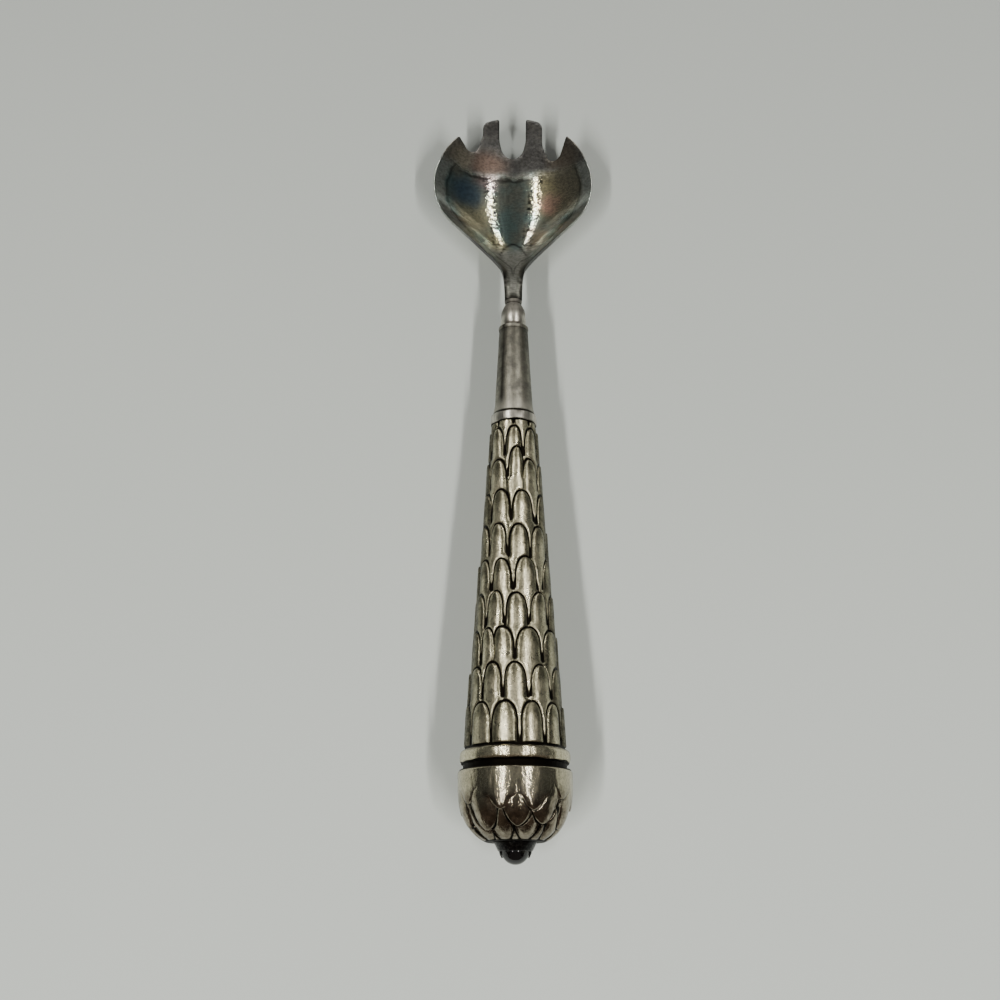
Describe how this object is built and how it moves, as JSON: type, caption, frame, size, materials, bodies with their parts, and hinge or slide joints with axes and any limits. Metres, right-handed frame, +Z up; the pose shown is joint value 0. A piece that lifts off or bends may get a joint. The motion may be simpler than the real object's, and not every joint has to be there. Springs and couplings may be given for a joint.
{
  "type": "salad serving fork",
  "caption": "Large serving fork with a bowl-shaped tined head, tapered ferrule, scale-covered hollow handle and leafy pommel set with a round black stone.",
  "frame": {"origin": "centre of the bounding box in plan, at the table that the fork lies on", "axes": "+Y along the handle towards the tines, +Z up out of the bowl's hollow, +X across the fork"},
  "size_m": [0.0566, 0.2622, 0.0354],
  "materials": {
    "head_silver": "polished",
    "handle_silver": "satin",
    "filler": "matte",
    "setting_silver": "satin",
    "black_stone": "gloss"
  },
  "bodies": {
    "root": {"fork_head": "head_silver", "neck_bolster": "handle_silver", "ferrule": "handle_silver", "ferrule_band": "handle_silver", "handle_shell_front": "handle_silver", "handle_shell_back": "handle_silver", "filler_core": "filler", "pommel_ring": "handle_silver", "pommel_cap": "handle_silver", "stone_setting": "setting_silver", "cabochon": "black_stone"}
  },
  "joints": []
}
